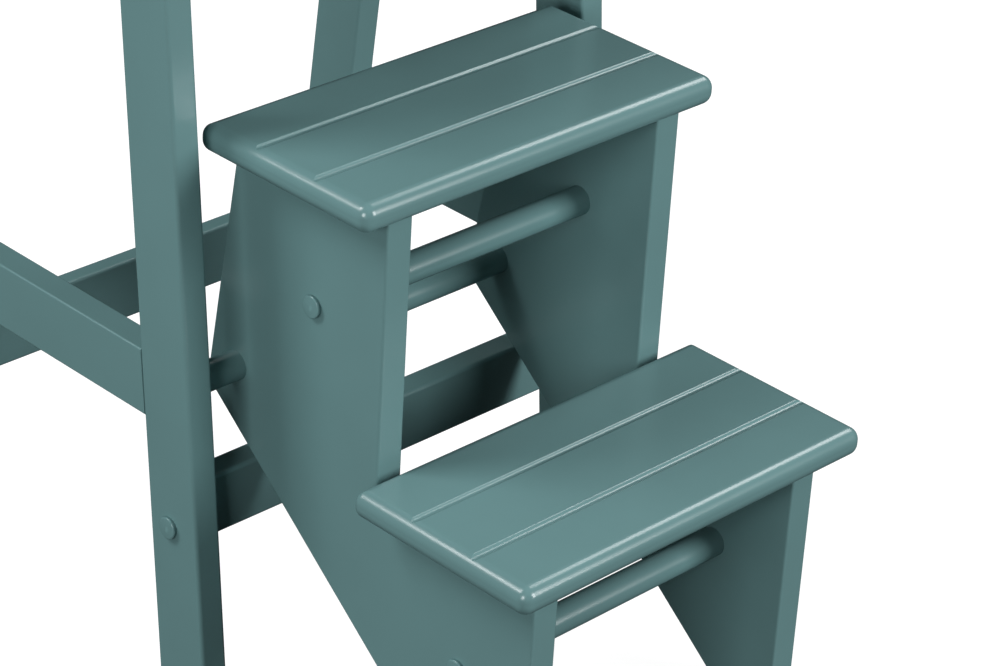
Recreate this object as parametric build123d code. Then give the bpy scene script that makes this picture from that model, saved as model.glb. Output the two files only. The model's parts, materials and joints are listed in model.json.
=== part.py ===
from build123d import *
import os
from math import acos, asin, atan, cos, degrees, radians, sin, sqrt

# Counter-height wooden stool with a two-step unit that flips out from under
# the seat about a round dowel held between the front legs.
# Millimetres. +Z up, the steps face -Y, the stool is symmetric about X = 0.
# Layout heights are from the floor. Layout depths (y) are from the front plane
# of the upper tread, and every piece is shifted by Y_MID at the end, so that
# the origin is on the floor at the middle of the unfolded footprint.

# ------------------------------------------------------------ driving dimensions
RISE_LOW = 232.0        # floor to lower tread
RISE = 215.0            # lower tread to upper tread
SEAT_TOP = 672.0        # floor to the top of the seat

TREAD_LENGTH = 339.6    # along X
TREAD_DEPTH = 169.2     # along Y
TREAD_THICK = 22.0
TREAD_CORNER = (9.3, 6.5)   # plan radius of the front and back corners
TREAD_ROUND = 9.5       # round-over of the upper and lower edges
UPPER_FRONT = 0.0       # front edge of the upper tread
LOWER_FRONT = -166.3    # front edge of the lower tread
# groove lines: distance from the tread's front edge, slope where hollow and lip meet
GROOVES = ((55.0, 48.0), (114.4, 41.0))
GROOVE_HOLLOW = 3.4     # radius of the hollow
GROOVE_LIP = 2.2        # rounding of the groove's lips

STRINGER_OUT = 141.3    # outer face of a step side board
STRINGER_THICK = 22.8
STRINGER_BACK_TOP = 161.1
STRINGER_FRONT_TOP = 8.5
STRINGER_FRONT_LOW = -148.1
STRINGER_FOOT_BACK = -87.5
STRINGER_KNEE = (190.1, 227.8)
STRINGER_EDGE = 2.0     # eased edges
FOOT_ROUND_FRONT, FOOT_ROUND_BACK = 12.0, 4.0   # the front one clears the seat in the swing

BAR_R = 11.2            # crossbars
DOWEL_R = 11.3          # pivot
PIVOT_Y, PIVOT_Z = 158.7, 251.4
PIVOT_BORE_R = 11.35    # running fit in the legs
PIVOT_BORE_DEEP = 13.0
PIVOT_END_PLAY = 0.5
UPPER_BAR = (78.7, 333.0)
LOWER_BAR = (-79.4, 115.0)
BAR_SOCKET_DEEP = 6.0

LEG_OUT = 207.2         # outer face of the legs
LEG_THICK = 22.7
LEG_WIDE = 50.0         # front legs, measured level
REAR_WIDE = 49.2        # rear legs, measured level
LEAN_FROM = 447.0       # height of the two values below
FRONT_AT, FRONT_LEAN = 150.9, 0.0940   # front edge, and forward lean per mm down
REAR_AT, REAR_LEAN = 383.3, 0.0970     # front edge, and backward lean per mm down
LEG_ROUND_FRONT = 3.0   # outer long edges of the pair
LEG_ROUND_BACK = 2.0    # long edges that meet the side rails

SIDE_RAIL_LOW, SIDE_RAIL_TOP = 224.4, 275.8
SIDE_RAIL_EDGE = 1.5
APRON_LOW = 600.0
SEAT_THICK = 22.0

BACK_APRON_THICK = 20.4
CROSS_RAIL_EDGE = 3.0
FRONT_RAIL_Y = (140.8, 162.9)
FRONT_RAIL_Z = (130.0, 179.5)
BACK_RAIL_Y = (428.4, 444.4)
BACK_RAIL_Z = (131.9, 183.6)

SEAT_WIDE = 434.0
SEAT_CORNER = 16.0
SEAT_OVERHANG = 21.0    # beyond the leg tops, front and back
SEAT_GROOVES = 4

PIN_R, PIN_HOLE_R = 3.95, 4.0
CAP_FOOT_R, CAP_R, CAP_FACE_R = 7.8, 8.6, 7.4   # at the board, widest, and of the face
CAP_WALL, CAP_HIGH, CAP_DOME = 2.4, 3.6, 0.5    # heights of these, and the crown
CAP_PLUG_R = 6.4
GLIDE_R, GLIDE_H = 8.0, 3.0

# ------------------------------------------------------------ derived positions
SEAT_LOW = SEAT_TOP - SEAT_THICK
LEG_IN = LEG_OUT - LEG_THICK
LEG_MID = LEG_OUT - LEG_THICK / 2
STRINGER_IN = STRINGER_OUT - STRINGER_THICK
TREAD_LOW_U = RISE_LOW + RISE - TREAD_THICK
TREAD_LOW_L = RISE_LOW - TREAD_THICK


def front_edge(z):
    return FRONT_AT - FRONT_LEAN * (LEAN_FROM - z)


def rear_edge(z):
    return REAR_AT + REAR_LEAN * (LEAN_FROM - z)


Y_MID = (LOWER_FRONT + rear_edge(GLIDE_H) + REAR_WIDE) / 2


# ------------------------------------------------------------ small helpers
def plate(points, x0, x1):
    """Board with a (y, z) outline between two X planes."""
    face = make_face(Polyline(*[(x0, y, z) for y, z in points], close=True))
    return extrude(face, amount=x1 - x0, dir=(1, 0, 0))


def rod(a, b, r):
    """Round bar from point a to point b."""
    a, b = Vector(*a), Vector(*b)
    d = b - a
    plane = Plane(origin=a, z_dir=d)
    return extrude(plane * Circle(r), amount=d.length)


def along(part, direction, test=lambda e: True):
    """Straight edges parallel to a direction."""
    d = Vector(*direction).normalized()
    return [
        e for e in part.edges()
        if e.geom_type == GeomType.LINE
        and abs(e.tangent_at(0.5).dot(d)) > 0.9999
        and test(e.center())
    ]


def mirrored(part):
    return mirror(part, about=Plane.YZ)


def both_sides(items):
    return list(items) + [mirrored(p) for p in items]


def turned(profile, origin, direction):
    """Solid of revolution: (radius, height) profile about a line."""
    plane = Plane(origin=(0, 0, 0), x_dir=(1, 0, 0), z_dir=(0, -1, 0))
    solid = revolve(plane * profile, axis=Axis.Z)
    place = Plane(origin=origin, z_dir=direction)
    return place.location * solid


def screw(head, tip, shank_r, head_r, head_h):
    """Plain-shank screw: the head's bearing face is at 'head', the point at 'tip'."""
    a, b = Vector(*head), Vector(*tip)
    d = (b - a).normalized()
    n = (b - a).length
    taper = 2.2 * shank_r
    drive = 0.45 * head_r
    outline = [
        (0, -head_h + 0.55 * head_h), (drive, -head_h + 0.55 * head_h), (drive, -head_h),
        (head_r - 0.6, -head_h), (head_r, -head_h + 0.6), (head_r, 0),
        (shank_r, 0), (shank_r, n - taper), (0.35, n), (0, n),
    ]
    profile = make_face(Polyline(*outline, close=True))
    return turned(profile, a, d)


def cap(centre, direction):
    """Domed, slightly undercut cover cap with a plug that sits in the screw's counterbore."""
    line = Polyline((0, -2.2), (CAP_PLUG_R - 0.5, -2.2), (CAP_PLUG_R, -1.7),
                    (CAP_PLUG_R, 0), (CAP_FOOT_R, 0), (CAP_R, CAP_WALL))
    rim = ThreePointArc((CAP_R, CAP_WALL), (CAP_R - 0.35, CAP_HIGH - 0.35), (CAP_FACE_R, CAP_HIGH))
    ball = (CAP_FACE_R ** 2 + CAP_DOME ** 2) / (2 * CAP_DOME)
    half = asin(CAP_FACE_R / ball) / 2
    top = CAP_HIGH + CAP_DOME
    dome = ThreePointArc((CAP_FACE_R, CAP_HIGH), (ball * sin(half), top - ball * (1 - cos(half))), (0, top))
    back = Line((0, top), (0, -2.2))
    profile = make_face(Curve() + [line, rim, dome, back])
    return turned(profile, centre, direction)


def glide(x, y):
    """Nail-on glide: floor disc with rounded rim, and its nail."""
    line = Polyline((1.4, GLIDE_H), (GLIDE_R, GLIDE_H), (GLIDE_R, 1.3))
    rim = ThreePointArc((GLIDE_R, 1.3), (GLIDE_R - 0.38, 0.38), (GLIDE_R - 1.3, 0))
    rest = Polyline((GLIDE_R - 1.3, 0), (0, 0), (0, GLIDE_H + 13.0),
                    (1.4, GLIDE_H + 10.5), (1.4, GLIDE_H))
    profile = make_face(Curve() + [line, rim, rest])
    return turned(profile, (x, y, 0), (0, 0, 1))


def glide_hole(x, y):
    return rod((x, y, GLIDE_H - 0.5), (x, y, GLIDE_H + 13.5), 1.45)


def groove_cutter(y, top, length, slope):
    """Hollow groove with rounded lips, along X."""
    r, lip, a = GROOVE_HOLLOW, GROOVE_LIP, radians(slope)
    half = (r + lip) * sin(a)
    xm, zm = half - lip * sin(a / 2), -lip * (1 - cos(a / 2))
    x1, z1 = half - lip * sin(a), -lip * (1 - cos(a))
    deep = (r + lip) * (1 - cos(a))
    p = lambda u, v: (-length, y + u, top + v)
    wire = Curve() + [
        ThreePointArc(p(-half, 0), p(-xm, zm), p(-x1, z1)),
        ThreePointArc(p(-x1, z1), p(0, -deep), p(x1, z1)),
        ThreePointArc(p(x1, z1), p(xm, zm), p(half, 0)),
        Polyline(p(half, 0), p(half, 3), p(-half, 3), p(-half, 0)),
    ]
    return extrude(make_face(wire), amount=2 * length, dir=(1, 0, 0))


def rounded_slab(length, depth, thick, front, low, corners, r):
    """Board whose edges are all rounded over by r, with plan radii for the front
    and back corners. Where these are smaller than r, the round-overs meet in a
    short mitre."""
    middle = Pos(0, front + depth / 2, low + thick / 2)
    blank = Box(length, depth, thick)
    if min(corners) > r:
        body = blank
        for corner, side in zip(corners, (-1, 1)):
            body = fillet([e for e in body.edges().filter_by(Axis.Z) if e.center().Y * side > depth / 4], corner)
        body = fillet(body.faces().sort_by(Axis.Z)[-1].edges(), r)
        body = fillet(body.faces().sort_by(Axis.Z)[0].edges(), r)
        return middle * body
    body = fillet(blank.edges().filter_by(Axis.X), r) & fillet(blank.edges().filter_by(Axis.Y), r)
    h = thick / 2
    for corner, sy in zip(corners, (-1, 1)):
        # one corner as a turned post, in its own (radius, height) section
        c = corner - r
        peak = h - r + sqrt(r * r - c * c)
        half = acos(-c / r) / 2
        arc_up = ThreePointArc((corner, h - r), (c + r * cos(half), h - r + r * sin(half)), (0, peak))
        arc_low = ThreePointArc((0, -peak), (c + r * cos(half), -(h - r) - r * sin(half)), (corner, r - h))
        section = make_face(Curve() + [Line((corner, r - h), (corner, h - r)), arc_up, Line((0, peak), (0, -peak)), arc_low])
        for sx in (-1, 1):
            at = (sx * (length / 2 - corner), sy * (depth / 2 - corner), 0)
            post = turned(section, at, (0, 0, 1))
            square = Pos(at[0] + sx * (corner + 1) / 2, at[1] + sy * (corner + 1) / 2, 0) * Box(corner + 1, corner + 1, thick + 2)
            body -= square - post
    return middle * body


pieces = {}

# ------------------------------------------------------------ treads
def tread(front, low):
    body = rounded_slab(TREAD_LENGTH, TREAD_DEPTH, TREAD_THICK, front, low, TREAD_CORNER, TREAD_ROUND)
    for at, slope in GROOVES:
        body -= groove_cutter(front + at, low + TREAD_THICK, TREAD_LENGTH, slope)
    return body


STRINGER_MID = STRINGER_OUT - STRINGER_THICK / 2
TREAD_PIN_IN = 11.0         # into the tread
TREAD_PIN_DOWN = 22.0       # into the side board
UPPER_PINS = (34.0, 134.0)
LOWER_PINS = (-128.0, -22.0)

upper = tread(UPPER_FRONT, TREAD_LOW_U)
lower = tread(LOWER_FRONT, TREAD_LOW_L)
tread_pins = []
pin_holes = []
for spots, low in ((UPPER_PINS, TREAD_LOW_U), (LOWER_PINS, TREAD_LOW_L)):
    for y in spots:
        tread_pins.append(rod((STRINGER_MID, y, low - TREAD_PIN_DOWN),
                              (STRINGER_MID, y, low + TREAD_PIN_IN), PIN_R))
        hole = rod((STRINGER_MID, y, low - TREAD_PIN_DOWN - 1),
                   (STRINGER_MID, y, low + TREAD_PIN_IN + 1), PIN_HOLE_R)
        pin_holes.append(hole)
for h in both_sides(pin_holes):
    upper -= h
    lower -= h
pieces["upper_tread"] = [upper]
pieces["lower_tread"] = [lower]
pieces["tread_dowel_pins"] = both_sides(tread_pins)

# ------------------------------------------------------------ step side boards
SCREW_HEAD_R, SCREW_HEAD_H, SCREW_SHANK_R = 5.5, 3.4, 2.5
SCREW_POCKET_R, SCREW_POCKET_DEEP = 6.5, 6.5
LOCK_SHANK_R, LOCK_HEAD_R, LOCK_HEAD_H = 1.75, 3.6, 2.6

outline = [
    (STRINGER_BACK_TOP, TREAD_LOW_U), (STRINGER_FRONT_TOP, TREAD_LOW_U),
    (STRINGER_FRONT_TOP, TREAD_LOW_L), (STRINGER_FRONT_LOW, TREAD_LOW_L),
    (STRINGER_FRONT_LOW, GLIDE_H), (STRINGER_FOOT_BACK, GLIDE_H), STRINGER_KNEE,
]
stringer = plate(outline, STRINGER_IN, STRINGER_OUT)
knee = [e for e in stringer.edges().filter_by(Axis.X)
        if abs(e.center().Y - STRINGER_KNEE[0]) < 0.1 and abs(e.center().Z - STRINGER_KNEE[1]) < 0.1]
stringer = fillet(knee, 8.0)
for r, front in ((FOOT_ROUND_FRONT, True), (FOOT_ROUND_BACK, False)):
    foot = [e for e in stringer.edges().filter_by(Axis.X)
            if e.center().Z < GLIDE_H + 0.1 and (e.center().Y < STRINGER_FRONT_LOW + 0.1) == front]
    stringer = fillet(foot, r)
eased = []
for e in stringer.edges():
    c = e.center()
    on_side = abs(c.X - STRINGER_IN) < 0.01 or abs(c.X - STRINGER_OUT) < 0.01
    under_tread = abs(c.Z - TREAD_LOW_U) < 0.01 or abs(c.Z - TREAD_LOW_L) < 0.01
    if on_side and not under_tread:
        eased.append(e)
stringer = fillet(eased, STRINGER_EDGE)

# sockets, screw holes and pockets for the crossbars
crossbar_screws, step_caps = [], []
for y, z in (UPPER_BAR, LOWER_BAR):
    stringer -= rod((STRINGER_IN - 1, y, z), (STRINGER_IN + BAR_SOCKET_DEEP, y, z), BAR_R + 0.05)
    stringer -= rod((STRINGER_IN, y, z), (STRINGER_OUT, y, z), SCREW_SHANK_R + 0.05)
    stringer -= rod((STRINGER_OUT - SCREW_POCKET_DEEP, y, z), (STRINGER_OUT + 1, y, z), SCREW_POCKET_R)
    crossbar_screws.append(screw((STRINGER_OUT - SCREW_POCKET_DEEP, y, z),
                                 (STRINGER_OUT - SCREW_POCKET_DEEP - 50, y, z),
                                 SCREW_SHANK_R, SCREW_HEAD_R, SCREW_HEAD_H))
    step_caps.append(cap((STRINGER_OUT, y, z), (1, 0, 0)))
# hole for the pivot dowel and the screw that locks it
stringer -= rod((STRINGER_IN - 1, PIVOT_Y, PIVOT_Z), (STRINGER_OUT + 1, PIVOT_Y, PIVOT_Z), DOWEL_R + 0.05)
BACK_RUN = STRINGER_KNEE[0] - STRINGER_BACK_TOP
BACK_RISE = TREAD_LOW_U - STRINGER_KNEE[1]
LOCK_Z = PIVOT_Z + 4.0
lock_back = STRINGER_BACK_TOP + BACK_RUN * (TREAD_LOW_U - LOCK_Z) / BACK_RISE
lock_n = (0, -cos(atan(BACK_RUN / BACK_RISE)), -sin(atan(BACK_RUN / BACK_RISE)))
lock_at = (STRINGER_MID, lock_back, LOCK_Z)
lock_seat = tuple(lock_at[i] + 3.2 * lock_n[i] for i in range(3))
lock_tip = tuple(lock_at[i] + 33.0 * lock_n[i] for i in range(3))
lock_out = tuple(lock_at[i] - 4.0 * lock_n[i] for i in range(3))
lock_hole = rod(lock_out, lock_tip, LOCK_SHANK_R + 0.05)
lock_pocket = rod(lock_seat, lock_out, LOCK_HEAD_R + 0.2)
stringer -= lock_hole
stringer -= lock_pocket
lock_screw = screw(lock_seat, tuple(lock_at[i] + 32.0 * lock_n[i] for i in range(3)),
                   LOCK_SHANK_R, LOCK_HEAD_R, LOCK_HEAD_H)
for h in pin_holes:
    stringer -= h
FOOT_GLIDES = (-127.0, -100.0)
step_glides = []
for y in FOOT_GLIDES:
    stringer -= glide_hole(STRINGER_MID, y)
    step_glides.append(glide(STRINGER_MID, y))

pieces["stringer_right"] = [stringer]
pieces["stringer_left"] = [mirrored(stringer)]
pieces["crossbar_screws"] = both_sides(crossbar_screws)
pieces["step_screw_caps"] = both_sides(step_caps)
pieces["pivot_lock_screws"] = both_sides([lock_screw])
pieces["step_glides"] = both_sides(step_glides)

# ------------------------------------------------------------ crossbars and pivot
def crossbar(y, z):
    end = STRINGER_IN + BAR_SOCKET_DEEP
    bar = rod((-end, y, z), (end, y, z), BAR_R)
    tip = STRINGER_OUT - SCREW_POCKET_DEEP - 51
    hole = rod((tip, y, z), (end + 1, y, z), SCREW_SHANK_R + 0.05)
    return bar - hole - mirrored(hole)


pieces["upper_crossbar"] = [crossbar(*UPPER_BAR)]
pieces["lower_crossbar"] = [crossbar(*LOWER_BAR)]

pivot_end = LEG_IN + PIVOT_BORE_DEEP - PIVOT_END_PLAY
pivot = rod((-pivot_end, PIVOT_Y, PIVOT_Z), (pivot_end, PIVOT_Y, PIVOT_Z), DOWEL_R)
pivot = chamfer(pivot.edges().filter_by(GeomType.CIRCLE), 1.0)
pivot = pivot - lock_hole - mirrored(lock_hole)
pieces["pivot_dowel"] = [pivot]

# ------------------------------------------------------------ legs
def leg(edge, wide, front_r, back_r, lean):
    z0, z1 = GLIDE_H, SEAT_LOW
    pts = [(edge(z0), z0), (edge(z1), z1), (edge(z1) + wide, z1), (edge(z0) + wide, z0)]
    body = plate(pts, LEG_IN, LEG_OUT)
    run = (0, edge(z1) - edge(z0), z1 - z0)
    mid = (edge(z0) + edge(z1) + wide) / 2
    body = fillet(along(body, run, lambda c: c.Y < mid), front_r)
    body = fillet(along(body, run, lambda c: c.Y > mid), back_r)
    return body


front_leg = leg(front_edge, LEG_WIDE, LEG_ROUND_FRONT, LEG_ROUND_BACK, FRONT_LEAN)
rear_leg = leg(rear_edge, REAR_WIDE, LEG_ROUND_BACK, LEG_ROUND_FRONT, REAR_LEAN)

# blind bore for the pivot dowel
front_leg -= rod((LEG_IN - 1, PIVOT_Y, PIVOT_Z), (LEG_IN + PIVOT_BORE_DEEP, PIVOT_Y, PIVOT_Z), PIVOT_BORE_R)

# ------------------------------------------------------------ side rails and side aprons
def side_board(low, top):
    pts = [(front_edge(low) + LEG_WIDE, low), (front_edge(top) + LEG_WIDE, top),
           (rear_edge(top), top), (rear_edge(low), low)]
    body = plate(pts, LEG_IN, LEG_OUT)
    return fillet(along(body, (0, 1, 0)), SIDE_RAIL_EDGE)


side_rail = side_board(SIDE_RAIL_LOW, SIDE_RAIL_TOP)
side_apron = side_board(APRON_LOW, SEAT_LOW)

PIN_HALF = 14.0
rail_pins, apron_pins = [], []
side_mid = (SIDE_RAIL_LOW + SIDE_RAIL_TOP) / 2
apron_mid = (APRON_LOW + SEAT_LOW) / 2
for z, board, bag in ((side_mid - 17, "rail", rail_pins), (side_mid + 17, "rail", rail_pins),
                      (apron_mid - 15, "apron", apron_pins), (apron_mid + 13, "apron", apron_pins)):
    for y, where in ((front_edge(z) + LEG_WIDE, "front"), (rear_edge(z), "rear")):
        bag.append(rod((LEG_MID, y - PIN_HALF, z), (LEG_MID, y + PIN_HALF, z), PIN_R))
        hole = rod((LEG_MID, y - PIN_HALF - 1, z), (LEG_MID, y + PIN_HALF + 1, z), PIN_HOLE_R)
        if where == "front":
            front_leg -= hole
        else:
            rear_leg -= hole
        if board == "rail":
            side_rail -= hole
        else:
            side_apron -= hole

# ------------------------------------------------------------ cross rails and back apron
def cross_board(ys, zs, edge):
    body = Pos(0, sum(ys) / 2, sum(zs) / 2) * Box(2 * LEG_IN, ys[1] - ys[0], zs[1] - zs[0])
    return fillet(body.edges().filter_by(Axis.X), edge)


apron_y = rear_edge(apron_mid) + REAR_WIDE / 2
front_rail = cross_board(FRONT_RAIL_Y, FRONT_RAIL_Z, CROSS_RAIL_EDGE)
back_rail = cross_board(BACK_RAIL_Y, BACK_RAIL_Z, CROSS_RAIL_EDGE)
back_apron = Pos(0, apron_y, apron_mid) * Box(2 * LEG_IN, BACK_APRON_THICK, SEAT_LOW - APRON_LOW)
back_apron = fillet([e for e in back_apron.edges().filter_by(Axis.X) if e.center().Z < apron_mid], 4.0)

FRAME_HEAD_R, FRAME_HEAD_H, FRAME_SHANK_R = 5.8, 3.8, 3.0
FRAME_POCKET_R, FRAME_POCKET_DEEP, FRAME_LONG = 6.5, 7.0, 58.0
frame_screws, frame_caps = [], []
# (board, y, screw height, dowel pin height)
joints = (
    ("front", sum(FRONT_RAIL_Y) / 2 - 1.0, sum(FRONT_RAIL_Z) / 2 - 9.5, sum(FRONT_RAIL_Z) / 2 + 11.0),
    ("back", sum(BACK_RAIL_Y) / 2, sum(BACK_RAIL_Z) / 2 - 10.5, sum(BACK_RAIL_Z) / 2 + 11.0),
    ("apron", apron_y, APRON_LOW + 12.0, APRON_LOW + 28.0),
)
for board, y, zs, zp in joints:
    seat_x = LEG_OUT - FRAME_POCKET_DEEP
    frame_screws.append(screw((seat_x, y, zs), (seat_x - FRAME_LONG, y, zs),
                              FRAME_SHANK_R, FRAME_HEAD_R, FRAME_HEAD_H))
    frame_caps.append(cap((LEG_OUT, y, zs), (1, 0, 0)))
    shank = rod((seat_x - FRAME_LONG - 1, y, zs), (LEG_OUT, y, zs), FRAME_SHANK_R + 0.05)
    pocket = rod((seat_x, y, zs), (LEG_OUT + 1, y, zs), FRAME_POCKET_R)
    pin = rod((LEG_IN - PIN_HALF, y, zp), (LEG_IN + PIN_HALF, y, zp), PIN_R)
    pin_hole = rod((LEG_IN - PIN_HALF - 1, y, zp), (LEG_IN + PIN_HALF + 1, y, zp), PIN_HOLE_R)
    (apron_pins if board == "apron" else rail_pins).append(pin)
    if board == "front":
        front_leg = front_leg - shank - pocket - pin_hole
    else:
        rear_leg = rear_leg - shank - pocket - pin_hole
    cuts = (shank, pin_hole, mirrored(shank), mirrored(pin_hole))
    for c in cuts:
        if board == "front":
            front_rail -= c
        elif board == "back":
            back_rail -= c
        else:
            back_apron -= c

# ------------------------------------------------------------ seat
seat_front = front_edge(SEAT_LOW) - SEAT_OVERHANG
seat_back = rear_edge(SEAT_LOW) + REAR_WIDE + SEAT_OVERHANG
seat_depth = seat_back - seat_front
seat = rounded_slab(SEAT_WIDE, seat_depth, SEAT_THICK, seat_front, SEAT_LOW, (SEAT_CORNER, SEAT_CORNER), TREAD_ROUND)
for i in range(SEAT_GROOVES):
    seat -= groove_cutter(seat_front + seat_depth * (i + 1) / (SEAT_GROOVES + 1), SEAT_TOP, SEAT_WIDE, GROOVES[0][1])

# one dowel pin from each leg top into the seat
seat_pins = []
for y, where in ((front_edge(SEAT_LOW) + LEG_WIDE / 2, "front"), (rear_edge(SEAT_LOW) + REAR_WIDE / 2, "rear")):
    seat_pins.append(rod((LEG_MID, y, SEAT_LOW - 11), (LEG_MID, y, SEAT_LOW + 11), PIN_R))
    hole = rod((LEG_MID, y, SEAT_LOW - 12), (LEG_MID, y, SEAT_LOW + 12), PIN_HOLE_R)
    if where == "front":
        front_leg -= hole
    else:
        rear_leg -= hole
    seat = seat - hole - mirrored(hole)

# screws up through the aprons into the seat
SEAT_SHANK_R, SEAT_HEAD_R, SEAT_HEAD_H = 2.2, 4.5, 3.0
SEAT_POCKET_R = 5.2
SEAT_BEAR = SEAT_LOW - 23.0
apron_front = front_edge(apron_mid) + LEG_WIDE
apron_back = rear_edge(apron_mid)
side_spots = [(LEG_MID, apron_front + 0.28 * (apron_back - apron_front)),
              (LEG_MID, apron_front + 0.72 * (apron_back - apron_front))]
back_spots = [(92.0, apron_y)]
seat_screws = []
for x, y in side_spots + back_spots:
    seat_screws.append(screw((x, y, SEAT_BEAR), (x, y, SEAT_LOW + 15), SEAT_SHANK_R, SEAT_HEAD_R, SEAT_HEAD_H))
    shank = rod((x, y, APRON_LOW - 1), (x, y, SEAT_LOW + 16), SEAT_SHANK_R + 0.05)
    pocket = rod((x, y, APRON_LOW - 1), (x, y, SEAT_BEAR), SEAT_POCKET_R)
    if x > 150:
        side_apron = side_apron - shank - pocket
    else:
        back_apron = back_apron - shank - pocket - mirrored(shank) - mirrored(pocket)
    seat = seat - shank - mirrored(shank)

# ------------------------------------------------------------ leg glides
leg_glides = []
for y, where in ((front_edge(GLIDE_H) + LEG_WIDE / 2, "front"), (rear_edge(GLIDE_H) + REAR_WIDE / 2, "rear")):
    leg_glides.append(glide(LEG_MID, y))
    if where == "front":
        front_leg -= glide_hole(LEG_MID, y)
    else:
        rear_leg -= glide_hole(LEG_MID, y)

pieces["front_leg_right"] = [front_leg]
pieces["front_leg_left"] = [mirrored(front_leg)]
pieces["rear_leg_right"] = [rear_leg]
pieces["rear_leg_left"] = [mirrored(rear_leg)]
pieces["side_rail_right"] = [side_rail]
pieces["side_rail_left"] = [mirrored(side_rail)]
pieces["side_apron_right"] = [side_apron]
pieces["side_apron_left"] = [mirrored(side_apron)]
pieces["front_rail"] = [front_rail]
pieces["back_rail"] = [back_rail]
pieces["back_apron"] = [back_apron]
pieces["seat"] = [seat]
pieces["frame_screws"] = both_sides(frame_screws)
pieces["frame_screw_caps"] = both_sides(frame_caps)
pieces["rail_dowel_pins"] = both_sides(rail_pins)
pieces["apron_dowel_pins"] = both_sides(apron_pins)
pieces["seat_dowel_pins"] = both_sides(seat_pins)
pieces["seat_screws"] = both_sides(seat_screws)
pieces["leg_glides"] = both_sides(leg_glides)

# ------------------------------------------------------------ write one file per piece
os.makedirs("parts", exist_ok=True)
shift = Location((0, -Y_MID, 0))
for name, bodies in pieces.items():
    solids = [shift * s for b in bodies for s in b.solids()]
    shape = solids[0] if len(solids) == 1 else Compound(children=solids)
    export_step(shape, os.path.join("parts", name + ".step"))

print("pivot in the finished frame:", 0.0, round(PIVOT_Y - Y_MID, 3), PIVOT_Z)
print("shift Y_MID:", round(Y_MID, 4), "seat y:", round(seat_front - Y_MID, 2), round(seat_back - Y_MID, 2))
print("leg lean, degrees:", round(degrees(atan(FRONT_LEAN)), 2), round(degrees(atan(REAR_LEAN)), 2))
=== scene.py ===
import json
import math

import bpy
from mathutils import Matrix, Vector

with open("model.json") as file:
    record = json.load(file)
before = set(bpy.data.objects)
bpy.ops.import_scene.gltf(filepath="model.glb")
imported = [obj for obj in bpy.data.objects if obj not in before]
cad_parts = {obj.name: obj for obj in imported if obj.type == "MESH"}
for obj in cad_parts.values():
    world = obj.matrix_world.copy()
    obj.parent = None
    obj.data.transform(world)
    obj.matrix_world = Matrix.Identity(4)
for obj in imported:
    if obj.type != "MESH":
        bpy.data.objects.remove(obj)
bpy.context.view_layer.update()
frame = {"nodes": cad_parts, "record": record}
nodes = frame["nodes"]
scene = bpy.context.scene


# ---------------------------------------------------------------- camera
# Long lens, from the front left and above, slightly rolled.
AZ, EL, ROLL = math.radians(-45.981), math.radians(28.863), math.radians(3.518)
CAM_AT = Vector((-1.562761, -1.628414, 1.478792))
FOCAL_PX = 3488.615      # for an image 1000 pixels wide

back = Vector((math.sin(AZ) * math.cos(EL), -math.cos(AZ) * math.cos(EL), math.sin(EL)))
fwd = -back
right = fwd.cross(Vector((0, 0, 1))).normalized()
up = right.cross(fwd)
r2 = right * math.cos(ROLL) + up * math.sin(ROLL)
u2 = -right * math.sin(ROLL) + up * math.cos(ROLL)
cam_data = bpy.data.cameras.new("camera")
cam_data.sensor_fit = "HORIZONTAL"
cam_data.sensor_width = 36.0
cam_data.lens = FOCAL_PX / 1000.0 * 36.0
cam_data.clip_start, cam_data.clip_end = 0.05, 60.0
cam = bpy.data.objects.new("camera", cam_data)
scene.collection.objects.link(cam)
cam.matrix_world = Matrix((
    (r2.x, u2.x, back.x, CAM_AT.x),
    (r2.y, u2.y, back.y, CAM_AT.y),
    (r2.z, u2.z, back.z, CAM_AT.z),
    (0, 0, 0, 1),
))
scene.camera = cam


# ---------------------------------------------------------------- materials
def new_material(name):
    m = bpy.data.materials.new(name)
    m.use_nodes = True
    nt = m.node_tree
    return m, nt, nt.nodes["Principled BSDF"]


def noise(nt, scale, detail, rough, stretch=(1, 1, 1)):
    """Noise in the piece's own metres, stretched along an axis where wanted."""
    co = nt.nodes.new("ShaderNodeTexCoord")
    mp = nt.nodes.new("ShaderNodeMapping")
    mp.inputs["Scale"].default_value = stretch
    n = nt.nodes.new("ShaderNodeTexNoise")
    n.inputs["Scale"].default_value = scale
    n.inputs["Detail"].default_value = detail
    n.inputs["Roughness"].default_value = rough
    nt.links.new(co.outputs["Object"], mp.inputs["Vector"])
    nt.links.new(mp.outputs["Vector"], n.inputs["Vector"])
    return n.outputs["Fac"]


def spread(nt, fac, low, high, at=(0.3, 0.7)):
    r = nt.nodes.new("ShaderNodeMapRange")
    r.inputs["From Min"].default_value, r.inputs["From Max"].default_value = at
    r.inputs["To Min"].default_value, r.inputs["To Max"].default_value = low, high
    nt.links.new(fac, r.inputs["Value"])
    return r.outputs["Result"]


def ramp(nt, fac, a, b, at=(0.3, 0.7)):
    r = nt.nodes.new("ShaderNodeValToRGB")
    r.color_ramp.elements[0].position, r.color_ramp.elements[1].position = at
    r.color_ramp.elements[0].color = (*a, 1)
    r.color_ramp.elements[1].color = (*b, 1)
    nt.links.new(fac, r.inputs["Fac"])
    return r.outputs["Color"]


def bumps(nt, bsdf, *layers):
    """Height layers as (height, strength, distance in metres)."""
    last = None
    for height, strength, distance in layers:
        b = nt.nodes.new("ShaderNodeBump")
        b.inputs["Strength"].default_value = strength
        b.inputs["Distance"].default_value = distance
        nt.links.new(height, b.inputs["Height"])
        if last:
            nt.links.new(last, b.inputs["Normal"])
        last = b.outputs["Normal"]
    nt.links.new(last, bsdf.inputs["Normal"])


def shade(c, k):
    return tuple(v * k for v in c)


PAINT = (0.133, 0.252, 0.257)


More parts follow.
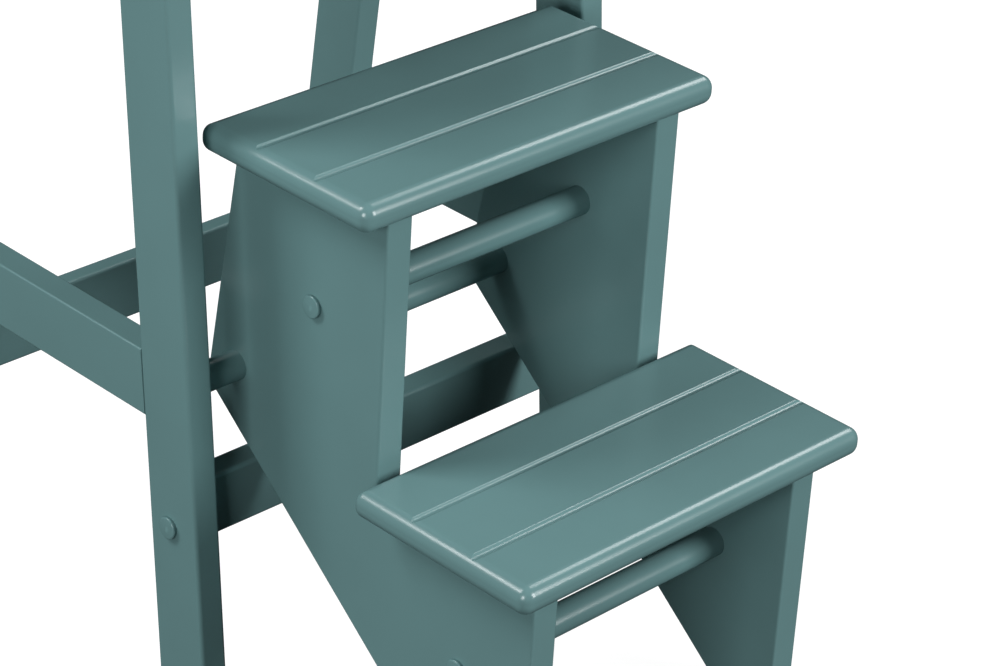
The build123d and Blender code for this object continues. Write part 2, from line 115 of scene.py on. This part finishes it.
def paint_material(name, grain):
    """Satin paint over sanded wood: an even coat with a very faint drift in
    tone, a sprayed skin, and the grain hardly telling along the board."""
    m, nt, bsdf = new_material(name)
    tone = noise(nt, 9.0, 3.0, 0.5)
    nt.links.new(ramp(nt, tone, shade(PAINT, 0.965), shade(PAINT, 1.035)), bsdf.inputs["Base Color"])
    nt.links.new(spread(nt, noise(nt, 24.0, 2.0, 0.5), 0.22, 0.245), bsdf.inputs["Roughness"])
    skin = noise(nt, 520.0, 2.0, 0.5)
    fibre = noise(nt, 260.0, 3.0, 0.6, grain)
    bumps(nt, bsdf, (fibre, 0.02, 0.00003), (skin, 0.015, 0.00002))
    return m


LONG, WIDE = 0.05, 1.0
paint_x = paint_material("painted_wood_x", (LONG, WIDE, WIDE))
paint_y = paint_material("painted_wood_y", (WIDE, LONG, WIDE))
paint_z = paint_material("painted_wood_z", (WIDE, WIDE, LONG))

CAP = (0.133, 0.252, 0.257)
caps, nt, b = new_material("cap_plastic")
nt.links.new(ramp(nt, noise(nt, 60.0, 2.0, 0.5), shade(CAP, 0.97), shade(CAP, 1.04)), b.inputs["Base Color"])
nt.links.new(spread(nt, noise(nt, 300.0, 2.0, 0.5), 0.17, 0.22), b.inputs["Roughness"])
bumps(nt, b, (noise(nt, 900.0, 2.0, 0.5), 0.08, 0.00003))

steel, nt, b = new_material("screw_steel")
b.inputs["Metallic"].default_value = 1.0
nt.links.new(ramp(nt, noise(nt, 220.0, 3.0, 0.6), (0.48, 0.48, 0.50), (0.66, 0.65, 0.62)), b.inputs["Base Color"])
nt.links.new(spread(nt, noise(nt, 700.0, 3.0, 0.6), 0.26, 0.42), b.inputs["Roughness"])
bumps(nt, b, (noise(nt, 1500.0, 2.0, 0.5), 0.12, 0.00004))

beech, nt, b = new_material("bare_beech")
nt.links.new(ramp(nt, noise(nt, 380.0, 5.0, 0.65, (1, 1, 0.08)), (0.46, 0.29, 0.145), (0.66, 0.46, 0.27)), b.inputs["Base Color"])
b.inputs["Roughness"].default_value = 0.62
bumps(nt, b, (noise(nt, 900.0, 4.0, 0.6, (1, 1, 0.08)), 0.25, 0.0001))

nylon, nt, b = new_material("glide_nylon")
nt.links.new(ramp(nt, noise(nt, 140.0, 3.0, 0.5), (0.016, 0.016, 0.017), (0.026, 0.026, 0.027)), b.inputs["Base Color"])
nt.links.new(spread(nt, noise(nt, 260.0, 3.0, 0.5), 0.45, 0.6), b.inputs["Roughness"])
bumps(nt, b, (noise(nt, 1300.0, 2.0, 0.5), 0.2, 0.00005))

ALONG_X = ("tread", "crossbar", "front_rail", "back_rail", "back_apron", "pivot_dowel", "seat")
ALONG_Y = ("side_rail", "side_apron")
by_slot = {"cap_plastic": caps, "screw_steel": steel, "bare_beech": beech, "glide_nylon": nylon}
for sub in frame["record"]["subparts"]:
    name, slot = sub["node"], sub["material_slot"]
    if slot != "painted_wood":
        m = by_slot[slot]
    elif any(k in name for k in ALONG_Y):
        m = paint_y
    elif any(k in name for k in ALONG_X):
        m = paint_x
    else:
        m = paint_z
    o = nodes[name]
    o.data.materials.clear()
    o.data.materials.append(m)


# ---------------------------------------------------------------- floor and backdrop
def glow_material(name, base, glow):
    m, nt, b = new_material(name)
    nt.links.new(ramp(nt, noise(nt, 1.5, 2.0, 0.5), shade(base, 0.99), base), b.inputs["Base Color"])
    b.inputs["Roughness"].default_value = 0.9
    b.inputs["Specular IOR Level"].default_value = 0.0
    b.inputs["Emission Color"].default_value = (1, 1, 1, 1)
    b.inputs["Emission Strength"].default_value = glow
    return m


def seen_only(o):
    """Seen, but no light source: the stool is lit by the softboxes alone."""
    o.visible_diffuse = False
    o.visible_glossy = False


bpy.ops.mesh.primitive_plane_add(size=30, location=(0, 0, -0.0005))
floor = bpy.context.object
floor.name = "floor"
floor.data.materials.append(glow_material("floor", (0.2, 0.2, 0.2), 0.965))
seen_only(floor)

bpy.ops.mesh.primitive_uv_sphere_add(segments=48, ring_count=24, radius=14.9, location=(0, 0, 0))
backdrop = bpy.context.object
backdrop.name = "backdrop"
backdrop.data.materials.append(glow_material("backdrop", (0.0, 0.0, 0.0), 1.1))
backdrop.visible_shadow = False
seen_only(backdrop)


# ---------------------------------------------------------------- light
FILL = 0.022
world = bpy.data.worlds.new("world")
scene.world = world
world.use_nodes = True
world.node_tree.nodes["Background"].inputs["Color"].default_value = (1, 1, 1, 1)
world.node_tree.nodes["Background"].inputs["Strength"].default_value = FILL

scene.view_settings.view_transform = "Standard"

AIM = Vector((0.0, -0.05, 0.33))


def softbox(name, az, el, dist, wide, high, radiance):
    """Rectangular softbox: azimuth and elevation it stands at, as seen from the
    stool, and its width and height, all in degrees."""
    a, e = math.radians(az), math.radians(el)
    v = Vector((math.sin(a) * math.cos(e), -math.cos(a) * math.cos(e), math.sin(e)))
    d = bpy.data.lights.new(name, "AREA")
    d.shape = "RECTANGLE"
    d.size = 2 * dist * math.tan(math.radians(wide / 2))
    d.size_y = 2 * dist * math.tan(math.radians(high / 2))
    d.energy = math.pi * d.size * d.size_y * radiance
    o = bpy.data.objects.new(name, d)
    scene.collection.objects.link(o)
    o.location = AIM + v * dist
    z = v
    x = Vector((0, 0, 1)).cross(z).normalized()
    y = z.cross(x)
    o.matrix_world = Matrix((
        (x.x, y.x, z.x, o.location.x),
        (x.y, y.y, z.y, o.location.y),
        (x.z, y.z, z.z, o.location.z),
        (0, 0, 0, 1),
    ))
    o.visible_camera = False
    return o


softbox("left", 292, 16, 3.0, 21, 21, 12.0)
softbox("front", 24, 19.5, 3.0, 20, 26, 14.9)
softbox("back_left", 235, 46, 3.0, 20, 24, 11.9)
softbox("back_left_low", 225, 29.5, 3.0, 12, 10, 4.6)
softbox("right", 88, 43.5, 3.0, 21, 20, 8.3)
